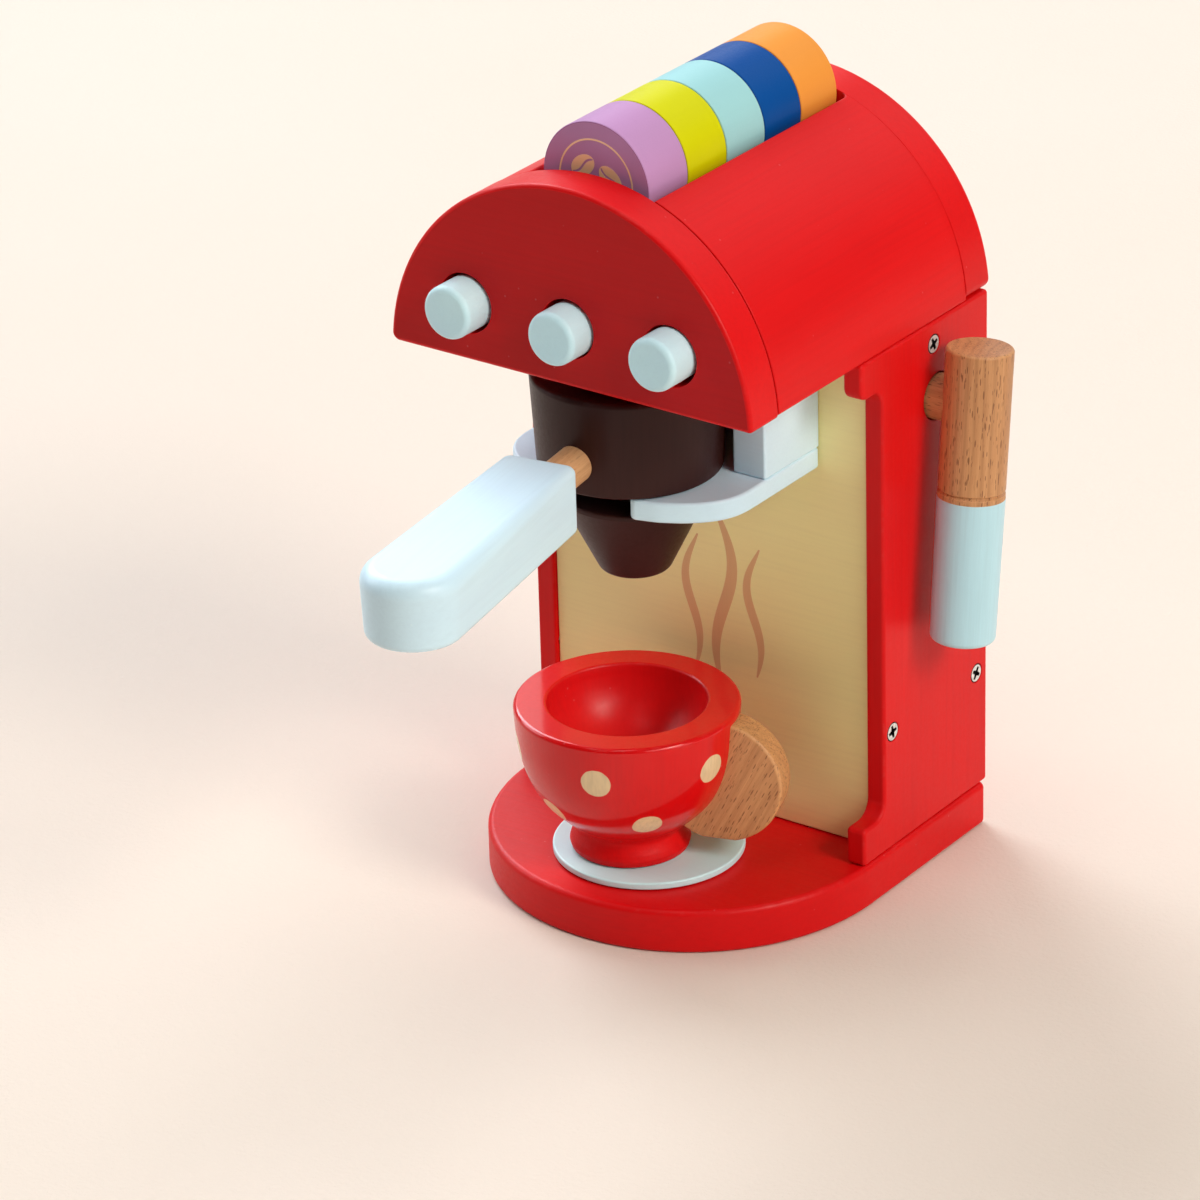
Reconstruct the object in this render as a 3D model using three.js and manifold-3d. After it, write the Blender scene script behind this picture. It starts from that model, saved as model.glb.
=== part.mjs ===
// Wooden toy coffee maker: base, body box, domed head with buttons and capsule rack, filter with paddle handle,
// swivelling steam wand and a cup. Millimetres, +Z up, front towards -Y, origin on the floor under the body.
import * as THREE from 'three';
import { mergeVertices } from 'three/addons/utils/BufferGeometryUtils.js';
import Module from 'manifold-3d';

const wasm = await Module();
wasm.setup();

// ---------------------------------------------------------------- driving dimensions
const GAP = 0.3; // clearance between neighbouring pieces
const WIDTH = 130; // base, body and head width
const HALF = WIDTH / 2;
const REAR = 65; // rear plane
const BASE_T = 14.5; // base board thickness
const BASE_FRONT = 67.4; // depth of the rounded front of the base
const PANEL_T = 6.7; // side panel thickness
const BODY_TOP = 183; // top of the body, underside of the head
const MID_FRONT = 6.5; // front edge of the side panels between foot and bracket
const PANEL_Y = 8.1; // face of the cream panel, a little behind the panels' front edges
const FOOT_FRONT = -5; // front of the side panel foot and top corner
const FRONT_T = 9.8; // cream front panel thickness
const BACK_T = 10.6; // back panel thickness
const DOME_R = 65; // arch radius
const DOME_CZ = 180; // arch centre height
const DOME_IN = 57.5; // inner arch radius
const PLATE_FRONT = -62.9; // front face of the head's front plate
const PLATE_REAR = -48.6;
const SHELL_REAR = 53.3;
const HEAD_OVER = 1.6; // how far the head stands out behind the body
const SLOT_HALF = 22.1; // half width of the capsule slot
const POD_R = 18.95;
const POD_CZ = 241.2;
const POD_Y = [-46.4, -26.3, -6, 14.1, 33.5, 53.1]; // capsule faces, front to rear
const TRAY_T = 4;
const BUTTONS = [[-37, 201], [0.2, 200.7], [36.6, 201]]; // X and Z of the button centres
const BUTTON_R = 8.4;
const BUTTON_HOLE = 9.4;
const BUTTON_OUT = 10; // how far a button stands out
const COLLAR_R = 11;
const FILTER = [-0.4, -32.1]; // filter axis
const PLATE_TOP = 146.2; // bracket plate top
const PLATE_T = 6.7;
const SLOT_R = 13.6; // bracket slot half width
const PADDLE_TURN = 8.25; // paddle direction, degrees from straight ahead
const PADDLE_OFF = -3.9; // dowel stands this far off the filter axis
const DOWEL_R = 5.8;
const DOWEL_Z = 156.8;
const SAUCER = [0, -28.2, 29.8, 2.6];
const CUP = [-3.1, -33.4];
const CUP_Z = BASE_T + SAUCER[3] + GAP;
const HANDLE_TURN = 17.5; // cup handle direction, degrees from +X
const WAND = [37.1, 157.8]; // swivel axis, Y and Z
const WAND_TILT = 6;
const WAND_R = 10.4;
const WAND_X = HALF + 3.5 + WAND_R;
const WAND_UP = 18.5;
const WAND_DOWN = 75.5;
const PEG_R = 7.2;
const SCREW = [ // side screws: name, Y, Z
  ['top', 35, 175.5],
  ['front', 11.4, 54.7],
  ['rear', 59.6, 54.7],
];
const RAD = Math.PI / 180;

// ---------------------------------------------------------------- colours
const RED = 0xd8202a;
const ICE = 0xd3e6ea;
const CREAM = 0xd9b57c;
const BROWN = 0x3a2424;
const BEECH = 0xc08a58;
const STEEL = 0xb9bcc0;
const BIRCH = 0xd8b98a;

// ---------------------------------------------------------------- helpers
const group = new THREE.Group();
group.name = 'toy_coffee_maker';

const CYCLE = new THREE.Matrix4().set(0, 0, 1, 0, 1, 0, 0, 0, 0, 1, 0, 0, 0, 0, 0, 1); // x,y,z -> Y,Z,X

// closed, outward-facing body as a manifold
function body(geo) {
  const g = geo.clone();
  g.deleteAttribute('normal');
  g.deleteAttribute('uv');
  const m = mergeVertices(g, 1e-3);
  const p = m.attributes.position;
  const src = m.index.array;
  const tri = [];
  let vol = 0;
  const a = new THREE.Vector3();
  const b = new THREE.Vector3();
  const c = new THREE.Vector3();
  for (let i = 0; i < src.length; i += 3) {
    const [u, v, w] = [src[i], src[i + 1], src[i + 2]];
    if (u === v || v === w || u === w) continue;
    tri.push(u, v, w);
    a.fromBufferAttribute(p, u);
    b.fromBufferAttribute(p, v);
    c.fromBufferAttribute(p, w);
    vol += a.dot(b.cross(c));
  }
  if (vol < 0) for (let i = 0; i < tri.length; i += 3) [tri[i], tri[i + 1]] = [tri[i + 1], tri[i]];
  return new wasm.Manifold(
    new wasm.Mesh({ numProp: 3, vertProperties: new Float32Array(p.array), triVerts: new Uint32Array(tri) }),
  );
}

function geometry(man) {
  const m = man.getMesh();
  const g = new THREE.BufferGeometry();
  const n = m.numProp;
  const pos = new Float32Array((m.vertProperties.length / n) * 3);
  for (let i = 0; i < pos.length / 3; i++) for (let k = 0; k < 3; k++) pos[i * 3 + k] = m.vertProperties[i * n + k];
  g.setAttribute('position', new THREE.BufferAttribute(pos, 3));
  g.setIndex(new THREE.BufferAttribute(new Uint32Array(m.triVerts), 1));
  g.computeVertexNormals();
  return g;
}

function add(name, man, color, roughness = 0.5, metalness = 0) {
  const mesh = new THREE.Mesh(geometry(man), new THREE.MeshStandardMaterial({ color, roughness, metalness }));
  mesh.name = name;
  group.add(mesh);
}

// board of thickness t from an outline; plane says where the outline lies, the thickness runs along the third axis
function board(shape, t, bevel, plane, at = 0, segments = 2, curves = 12) {
  const g = new THREE.ExtrudeGeometry(shape, {
    depth: t - 2 * bevel,
    curveSegments: curves,
    bevelEnabled: bevel > 0,
    bevelThickness: bevel,
    bevelSize: bevel,
    bevelOffset: -bevel,
    bevelSegments: segments,
  });
  g.translate(0, 0, bevel);
  if (plane === 'YZ') g.applyMatrix4(CYCLE).translate(at, 0, 0);
  if (plane === 'XZ') g.rotateX(Math.PI / 2).translate(0, at + t, 0);
  if (plane === 'XY') g.translate(0, 0, at);
  return body(g);
}

// closed outline; a corner [x, y, r] is rounded to radius r with n steps
function outline(points, n = 4) {
  const out = [];
  points.forEach(([x, y, r], i) => {
    if (!r) {
      out.push(new THREE.Vector2(x, y));
      return;
    }
    const v = new THREE.Vector2(x, y);
    const prev = points[(i + points.length - 1) % points.length];
    const next = points[(i + 1) % points.length];
    const a = new THREE.Vector2(prev[0] - x, prev[1] - y).normalize();
    const b = new THREE.Vector2(next[0] - x, next[1] - y).normalize();
    const half = Math.acos(a.dot(b)) / 2;
    const mid = a.clone().add(b).normalize();
    const centre = v.clone().addScaledVector(mid, r / Math.sin(half));
    const from = v.clone().addScaledVector(a, r / Math.tan(half)).sub(centre);
    const to = v.clone().addScaledVector(b, r / Math.tan(half)).sub(centre);
    let turn = Math.atan2(from.x * to.y - from.y * to.x, from.dot(to));
    for (let k = 0; k <= n; k++) {
      out.push(from.clone().rotateAround(new THREE.Vector2(), (turn * k) / n).add(centre));
    }
  });
  return new THREE.Shape(out);
}

// points along a circular arc
function arc(cx, cy, r, from, to, n) {
  return Array.from({ length: n + 1 }, (_, i) => {
    const a = from + ((to - from) * i) / n;
    return [cx + r * Math.cos(a), cy + r * Math.sin(a)];
  });
}

// rectangular piece with lightly rounded edges
function block(x0, x1, y0, y1, z0, z1, bevel = 0.8) {
  return board(outline([[x0, y0], [x1, y0], [x1, y1], [x0, y1]]), z1 - z0, bevel, 'XY', z0, 1);
}

// turned piece about +Z through x, y; the profile is [radius, height] and starts and ends on the axis
function turned(profile, x = 0, y = 0, z = 0, seg = 40) {
  const g = new THREE.LatheGeometry(profile.map(([r, h]) => new THREE.Vector2(r, h)), seg);
  g.rotateX(Math.PI / 2).translate(x, y, z);
  return g;
}

function cyl(r, h, seg = 32, bevel = 0) {
  const p = bevel
    ? [[0, 0], [r - bevel, 0], [r, bevel], [r, h - bevel], [r - bevel, h], [0, h]]
    : [[0, 0], [r, 0], [r, h], [0, h]];
  return turned(p, 0, 0, 0, seg);
}

// piece of revolution along +X, starting at x
function alongX(geo, x, y, z) {
  return body(geo.clone().applyMatrix4(CYCLE).translate(x, y, z));
}

// piece of revolution along -Y, starting at y
function alongFront(geo, x, y, z) {
  return body(geo.clone().rotateX(Math.PI / 2).translate(x, y, z));
}

// ---------------------------------------------------------------- base board
const baseShape = new THREE.Shape();
baseShape.moveTo(-HALF, REAR);
baseShape.lineTo(-HALF, 0);
baseShape.absellipse(0, 0, HALF, BASE_FRONT, Math.PI, 2 * Math.PI, false, 0);
baseShape.lineTo(HALF, REAR);
baseShape.closePath();
let base = board(baseShape, BASE_T, 1.8, 'XY', 0, 2, 28);
const baseScrewAt = [['front_left', -35, 11.4], ['front_right', 35, 11.4], ['rear_left', -35, 59.6], ['rear_right', 35, 59.6]];
const screwSpace = turned([[0, -2], [3.4, -2], [3.4, 1.4], [1.85, 3.8], [1.85, 24], [0, 24]], 0, 0, 0, 12);
for (const [, x, y] of baseScrewAt) base = base.subtract(body(screwSpace.clone().translate(x, y, 0)));
add('base_board', base, RED, 0.42);

// ---------------------------------------------------------------- side panels
const z0 = BASE_T + GAP;
const z1 = BODY_TOP - GAP;
const sideOutline = outline([
  [REAR, z0], [REAR, z1], [FOOT_FRONT, z1], [FOOT_FRONT, 170.5, 3.6], [MID_FRONT, 170.5, 4.8],
  [MID_FRONT, 27.1, 5.6], [FOOT_FRONT, 27.1, 1.6], [FOOT_FRONT, z0],
]);
// countersunk screw along +X, head outside
function screw() {
  const head = turned([[0, -16], [1.4, -13.4], [1.4, -2.2], [2.95, -0.55], [2.95, -0.2], [1.8, 0.4], [0, 0.4]], 0, 0, 0, 12);
  const cut = body(new THREE.BoxGeometry(0.75, 3.4, 2.4).translate(0, 0, 0.6)).add(
    body(new THREE.BoxGeometry(3.4, 0.75, 2.4).translate(0, 0, 0.6)),
  );
  return geometry(body(head).subtract(cut)).toNonIndexed();
}
const sideHole = turned([[0, -17], [1.75, -17], [1.75, -2.4], [3.3, -0.75], [3.3, 2], [0, 2]], 0, 0, 0, 12);
const screwGeo = screw();
const mirrorX = (man) => man.mirror([1, 0, 0]);

let right = board(sideOutline, PANEL_T, 1.1, 'YZ', HALF - PANEL_T, 1, 6);
let left = mirrorX(right);
for (const [, y, z] of SCREW) right = right.subtract(alongX(sideHole, HALF, y, z));
for (const [, y, z] of SCREW) left = left.subtract(mirrorX(alongX(sideHole, HALF, y, z)));
right = right.subtract(alongX(cyl(PEG_R + 0.45, 12, 20), HALF - 9, WAND[0], WAND[1]));
add('side_panel_left', left, RED, 0.42);
add('side_panel_right', right, RED, 0.42);
for (const [n, y, z] of SCREW) {
  add(`side_screw_left_${n}`, mirrorX(alongX(screwGeo, HALF, y, z)), STEEL, 0.35, 0.9);
  add(`side_screw_right_${n}`, alongX(screwGeo, HALF, y, z), STEEL, 0.35, 0.9);
}
const up = new THREE.Matrix4().makeRotationX(Math.PI); // head down
for (const [n, x, y] of baseScrewAt) {
  add(`base_screw_${n}`, body(screwGeo.clone().scale(1, 1, 1.35).applyMatrix4(up).translate(x, y, 0.7)), STEEL, 0.35, 0.9);
}

// ---------------------------------------------------------------- body boards
const inX = HALF - PANEL_T - GAP;
const withScrews = (man, which) => {
  for (const [n, y, z] of SCREW) {
    if (n !== which) continue;
    man = man.subtract(alongX(sideHole, HALF, y, z)).subtract(mirrorX(alongX(sideHole, HALF, y, z)));
  }
  return man;
};
let front = withScrews(block(-inX, inX, PANEL_Y, PANEL_Y + FRONT_T, z0, z1, 1), 'front');
let back = withScrews(block(-inX, inX, REAR - BACK_T - 0.3, REAR - 0.3, z0, z1, 1), 'rear');
for (const [n, x, y] of baseScrewAt) {
  const hole = body(screwSpace.clone().translate(x, y, 0));
  if (n.startsWith('front')) front = front.subtract(hole);
  else back = back.subtract(hole);
}
add('front_panel', front, CREAM, 0.5);
add('back_panel', back, RED, 0.42);
add('top_board', withScrews(block(-inX, inX, PANEL_Y + FRONT_T + GAP, REAR - BACK_T - 0.6, 168.4, z1, 0.8), 'top'), BIRCH, 0.6);

// ---------------------------------------------------------------- head
function arch(lower) {
  const a = Math.asin((lower + 2 - DOME_CZ) / DOME_R);
  const x = DOME_R * Math.cos(a);
  return outline([
    [-x + 2, lower], [x - 2, lower], [x - 0.6, lower + 0.6],
    ...arc(0, DOME_CZ, DOME_R, a, Math.PI - a, 36),
    [-x + 0.6, lower + 0.6],
  ]);
}
const plateT = PLATE_REAR - PLATE_FRONT;
let plate = board(arch(BODY_TOP), plateT, 1.6, 'XZ', PLATE_FRONT, 2);
for (const [x, z] of BUTTONS) plate = plate.subtract(alongFront(cyl(BUTTON_HOLE, plateT + 4, 28), x, PLATE_REAR + 2, z));
add('dome_front_plate', plate, RED, 0.42);
add('dome_rear_plate', board(arch(BODY_TOP), REAR + HEAD_OVER - SHELL_REAR - GAP, 1.6, 'XZ', SHELL_REAR + GAP, 1), RED, 0.42);

const shellLow = BODY_TOP + 0.1;
const aOut = Math.asin((shellLow + 2.6 - DOME_CZ) / DOME_R);
const slotOut = Math.acos(SLOT_HALF / DOME_R);
const slotIn = Math.acos(SLOT_HALF / DOME_IN);
const aIn = Math.asin((shellLow - DOME_CZ) / DOME_IN);
const sh = outline([
  ...arc(0, DOME_CZ, DOME_R, aOut, slotOut, 16),
  ...arc(0, DOME_CZ, DOME_IN, slotIn, aIn, 12),
  [HALF - 3, shellLow], [HALF - 1, shellLow + 0.8],
]);
const shell = board(sh, SHELL_REAR - PLATE_REAR - GAP, 0.5, 'XZ', PLATE_REAR + GAP, 1, 24);
add('dome_shell_right', shell, RED, 0.42);
add('dome_shell_left', mirrorX(shell), RED, 0.42);
const floorX = Math.sqrt(DOME_IN * DOME_IN - 64) - 0.6;
let floor = block(-floorX, floorX, PLATE_REAR + GAP, SHELL_REAR, BODY_TOP + 0.2, BODY_TOP + 5.2, 0.5);
add('dome_floor', floor, RED, 0.5);

// capsule tray: channel under the slot, between the shell halves
const trayTop = POD_CZ - POD_R - GAP;
const trayX = SLOT_HALF - GAP;
const trayWall = 19.4;
add(
  'pod_tray',
  board(
    outline([
      [-trayX, trayTop - TRAY_T], [trayX, trayTop - TRAY_T], [trayX, 235], [trayWall, 235],
      [trayWall, trayTop], [-trayWall, trayTop], [-trayWall, 235], [-trayX, 235],
    ]),
    SHELL_REAR - PLATE_REAR - GAP, 0, 'XZ', PLATE_REAR + GAP,
  ),
  BIRCH, 0.6,
);

// ---------------------------------------------------------------- capsules
['purple:b07ab8', 'lime:cfc915', 'aqua:a3d6da', 'blue:0f4c96', 'orange:f39a3d'].forEach((c, i) => {
  const [n, hex] = c.split(':');
  add(`pod_${n}`, alongFront(cyl(POD_R, POD_Y[i + 1] - POD_Y[i] - GAP, 36, 0.7), 0, POD_Y[i + 1] - GAP / 2, POD_CZ), parseInt(hex, 16), 0.45);
});

// ---------------------------------------------------------------- buttons, each with a collar and a spring behind it
class Coil extends THREE.Curve {
  constructor(x, y, z, r, length, turns) {
    super();
    Object.assign(this, { x, y, z, r, length, turns });
  }
  getPoint(t, target = new THREE.Vector3()) {
    const a = 2 * Math.PI * this.turns * t;
    return target.set(this.x + this.r * Math.cos(a), this.y + this.length * t, this.z + this.r * Math.sin(a));
  }
}
const wire = new THREE.Shape();
wire.absarc(0, 0, 0.6, 0, 2 * Math.PI, false);
const COLLAR_Y = PLATE_REAR + GAP; // collar front
const SPRING_Y = COLLAR_Y + 3.2;
const SPRING_BOARD = -32;
BUTTONS.forEach(([x, bz], i) => {
  const n = ['left', 'middle', 'right'][i];
  const len = COLLAR_Y - GAP - (PLATE_FRONT - BUTTON_OUT);
  const cap = turned(
    [[0, -6], [4, -6], [4, 0], [BUTTON_R, 0], [BUTTON_R, len - 1.2], [BUTTON_R - 1.3, len], [0, len]],
    0, 0, 0, 28,
  );
  add(`button_${n}`, alongFront(cap, x, COLLAR_Y - GAP, bz), ICE, 0.45);
  const collar = alongFront(cyl(COLLAR_R, 3, 24, 0.4), x, COLLAR_Y + 3, bz).subtract(
    alongFront(cyl(4.25, 6, 16), x, COLLAR_Y + 4, bz),
  );
  add(`button_collar_${n}`, collar, BIRCH, 0.6);
  const coil = new THREE.ExtrudeGeometry(wire, {
    steps: 38, curveSegments: 3, bevelEnabled: false,
    extrudePath: new Coil(x, SPRING_Y + 0.7, bz, 6, SPRING_BOARD - SPRING_Y - 1.6, 4.5),
  });
  add(`button_spring_${n}`, body(coil), STEEL, 0.3, 0.9);
});
add('spring_board', block(-46, 46, SPRING_BOARD, SPRING_BOARD + 6, BODY_TOP + 5.5, 212.5, 0.8), BIRCH, 0.6);

// ---------------------------------------------------------------- bracket that holds the filter
const bracketEdge = [[19.9, -52.6], [25.5, -50.5], [30.8, -47.8], [34.9, -44.5], [38, -40.9], [40.3, -36.3], [41.2, -31.6], [41.4, -26], [41.3, PANEL_Y - GAP]];
const bracketShape = outline([
  [SLOT_R, -54.4, 2], ...bracketEdge, ...bracketEdge.map(([x, y]) => [-x, y]).reverse(), [-SLOT_R, -54.4, 2],
  ...arc(0, FILTER[1] + 0.4, SLOT_R, Math.PI, 0, 14),
]);
add('bracket_plate', board(bracketShape, PLATE_T, 0.9, 'XY', PLATE_TOP - PLATE_T, 1), ICE, 0.45);
for (const [n, x] of [['left', -41.2], ['right', 29.5]]) {
  add(`bracket_block_${n}`, block(x, x + 11.7, -21.3, PANEL_Y - GAP, PLATE_TOP + GAP, BODY_TOP - 0.1, 0.8), ICE, 0.45);
}

// ---------------------------------------------------------------- filter
const [fx, fy] = FILTER;
add(
  'filter_funnel',
  body(turned([
    [0, 112.3], [8.6, 112.3], [10.4, 112.9], [11.6, 114.4], [22.6, 137.2], [22.6, 138.4], [22.1, 138.9], [12.3, 138.9],
    [12.3, PLATE_TOP + GAP - 0.3], [0, PLATE_TOP + GAP - 0.3],
  ], fx, fy, 0, 32)),
  BROWN, 0.5,
);
const dowelSpan = [16, 56]; // from inside the drum to inside the paddle
const pd = new THREE.Vector3(Math.sin(PADDLE_TURN * RAD), -Math.cos(PADDLE_TURN * RAD), 0);
const pn = new THREE.Vector3(Math.cos(PADDLE_TURN * RAD), Math.sin(PADDLE_TURN * RAD), 0);
// local x along the paddle, local y across it
const paddleFrame = new THREE.Matrix4().makeBasis(pd, pn, new THREE.Vector3(0, 0, 1)).setPosition(
  fx + pn.x * PADDLE_OFF, fy + pn.y * PADDLE_OFF, 0,
);
function rodLocal(r, a, b, z, seg = 24) {
  const g = cyl(r, b - a, seg).rotateY(Math.PI / 2).translate(a, 0, z);
  return g.applyMatrix4(paddleFrame);
}
const drum = body(turned([
  [0, PLATE_TOP + GAP], [27.6, PLATE_TOP + GAP], [28.4, PLATE_TOP + GAP + 0.8], [29.9, 176.2], [29.3, 177.6], [28.2, 178], [21.6, 178],
  [20.4, 177.2], [20.2, 158.5], [19.4, 157.6], [0, 157.6],
], fx, fy, 0, 36)).subtract(body(rodLocal(DOWEL_R + GAP, dowelSpan[0] - 0.3, 60, DOWEL_Z)));
add('filter_drum', drum, BROWN, 0.5);
add('filter_dowel', body(rodLocal(DOWEL_R, dowelSpan[0], dowelSpan[1], DOWEL_Z)), BEECH, 0.6);
const pw0 = 11.8;
const pw1 = 15;
const pEnd = 142;
const pStart = 47.6;
const pad = new THREE.Shape();
pad.moveTo(pStart, -pw0);
pad.lineTo(pEnd - pw1, -pw1);
pad.absarc(pEnd - pw1, 0, pw1, -Math.PI / 2, Math.PI / 2, false);
pad.lineTo(pStart, pw0);
pad.closePath();
const padGeo = new THREE.ExtrudeGeometry(pad, {
  depth: 21.5 - 7, curveSegments: 12, bevelEnabled: true, bevelThickness: 3.5, bevelSize: 3.5, bevelOffset: -3.5, bevelSegments: 3,
});
padGeo.translate(0, 0, 144.9 + 3.5).applyMatrix4(paddleFrame);
add('filter_handle', body(padGeo).subtract(body(rodLocal(DOWEL_R + GAP, 20, dowelSpan[1] + 0.4, DOWEL_Z))), ICE, 0.45);

// ---------------------------------------------------------------- saucer disc and cup
add('saucer_disc', body(cyl(SAUCER[2], SAUCER[3] - 0.3, 48, 0.6).translate(SAUCER[0], SAUCER[1], BASE_T + GAP)), ICE, 0.45);
const cz = CUP_Z;
const bowlOut = [
  [18, 0], [18.9, 1.2], [18.4, 3.9], [16.6, 6.2], [17, 8.4], [22, 12.6], [27.5, 19.2], [31.3, 27], [33.7, 36],
  [35.3, 46.4], [35.1, 48.3], [33.3, 49.3],
];
const bowlIn = [[25.6, 49.3], [24.7, 48.4], [24, 43], [21.3, 36.9], [17.4, 32.4], [12.3, 29], [6.4, 26.9], [0, 26.2]];
const handleFrame = new THREE.Matrix4()
  .makeRotationZ(HANDLE_TURN * RAD)
  .setPosition(CUP[0], CUP[1], 0);
let disc = body(cyl(20.4, 10.4, 36, 0.5).rotateX(Math.PI / 2).translate(30.2, 5.2, 44.4).applyMatrix4(handleFrame));
const fat = body(turned([[0, 6.2], ...bowlOut.slice(3).map(([r, h]) => [r - 3.2, h]), [32, 60], [0, 60]], CUP[0], CUP[1], cz, 44));
disc = disc.subtract(fat).subtract(body(new THREE.BoxGeometry(60, 30, 20).translate(30, 0, 24.6 - 10).applyMatrix4(handleFrame)));
const pocket = body(
  cyl(20.4 + GAP, 10.4 + 2 * GAP, 36).rotateX(Math.PI / 2).translate(30.2, 5.2 + GAP, 44.4).applyMatrix4(handleFrame),
).subtract(body(turned([[0, 0], ...bowlOut.slice(3).map(([r, h]) => [r - 3.5, h]), [31.7, 60], [0, 60]], CUP[0], CUP[1], cz, 44)));
add('cup_bowl', body(turned([[0, 0], ...bowlOut, ...bowlIn], CUP[0], CUP[1], cz, 44)).subtract(pocket), RED, 0.35);
add('cup_handle', disc, BEECH, 0.6);

// ---------------------------------------------------------------- steam wand on its swivel peg
const rodGeo = turned([
  [0, 0], [WAND_R - 1.6, 0], [WAND_R - 0.5, 0.5], [WAND_R, 1.8], [WAND_R, 48], [WAND_R - 0.7, 48.8], [WAND_R, 49.6],
  [WAND_R, WAND_DOWN + WAND_UP - 1], [WAND_R - 1, WAND_DOWN + WAND_UP], [0, WAND_DOWN + WAND_UP],
], 0, 0, -WAND_DOWN, 28).rotateX(-WAND_TILT * RAD).translate(WAND_X, WAND[0], WAND[1]);
const pegEnd = WAND_X - 1.5;
add('wand_rod', body(rodGeo).subtract(alongX(cyl(PEG_R + GAP, 14, 20), WAND_X - 15.2, WAND[0], WAND[1])), BEECH, 0.55);
add('wand_peg', alongX(turned([[0, 0], [5, 0], [5.2, 0.3], [5.2, 6], [PEG_R, 6], [PEG_R, pegEnd - 51.4], [0, pegEnd - 51.4]], 0, 0, 0, 20), 51.4, WAND[0], WAND[1]), BEECH, 0.6);
add('wand_washer', alongX(cyl(10.2, 4, 24, 0.5), 53, WAND[0], WAND[1]).subtract(alongX(cyl(5.5, 8, 20), 51, WAND[0], WAND[1])), BIRCH, 0.6);

export default group;
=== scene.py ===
from math import acos, asin, atan2, cos, degrees, hypot, pi, radians, sin, sqrt

import bpy
from mathutils import Matrix, Vector
from mathutils.geometry import delaunay_2d_cdt


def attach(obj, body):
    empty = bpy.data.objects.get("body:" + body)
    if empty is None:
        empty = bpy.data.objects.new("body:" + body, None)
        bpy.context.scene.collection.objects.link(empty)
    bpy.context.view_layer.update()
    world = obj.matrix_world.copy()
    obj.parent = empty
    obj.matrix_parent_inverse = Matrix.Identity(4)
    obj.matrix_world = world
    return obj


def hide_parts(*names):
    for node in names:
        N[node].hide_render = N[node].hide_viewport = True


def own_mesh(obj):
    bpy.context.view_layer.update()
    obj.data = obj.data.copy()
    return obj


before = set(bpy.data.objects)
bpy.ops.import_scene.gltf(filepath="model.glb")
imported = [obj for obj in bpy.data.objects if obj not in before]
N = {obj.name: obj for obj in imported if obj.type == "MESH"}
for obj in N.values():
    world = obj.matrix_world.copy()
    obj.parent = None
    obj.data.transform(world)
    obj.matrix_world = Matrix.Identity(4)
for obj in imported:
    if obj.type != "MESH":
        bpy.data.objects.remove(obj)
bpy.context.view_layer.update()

MM = 0.001

# ------------------------------------------------------------------ camera
AZ, EL, ROLL = radians(36.125), radians(25.52), radians(1.644)
FOCAL_PX, DIST, PX_MM = 5729.67, 1762.377, 3.2511
right = Vector((cos(AZ), sin(AZ), 0))
back = Vector((sin(AZ) * cos(EL), -cos(AZ) * cos(EL), sin(EL)))
up = back.cross(right)
u0, v0 = (694.38 - 600) / PX_MM, -(534.236 - 600) / PX_MM
c, s = cos(ROLL), sin(ROLL)
eye = Vector((0, 0, 110)) + right * (c * -u0 + s * -v0) + up * (-s * -u0 + c * -v0) + back * DIST
cam = bpy.data.objects.new("camera", bpy.data.cameras.new("camera"))
bpy.context.scene.collection.objects.link(cam)
cam.matrix_world = Matrix.Translation(eye * MM) @ Matrix((c * right - s * up, s * right + c * up, back)).transposed().to_4x4()
cam.data.sensor_width = 36
cam.data.lens = FOCAL_PX * 36 / 1200
cam.data.clip_start, cam.data.clip_end = 0.1, 40
cam.data.dof.use_dof = False
bpy.context.scene.camera = cam


# ------------------------------------------------------------------ materials
def rgb(*values):
    out = [x / 255 for x in values]
    return tuple(x / 12.92 if x <= 0.04045 else ((x + 0.055) / 1.055) ** 2.4 for x in out) + (1.0,)


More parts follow.
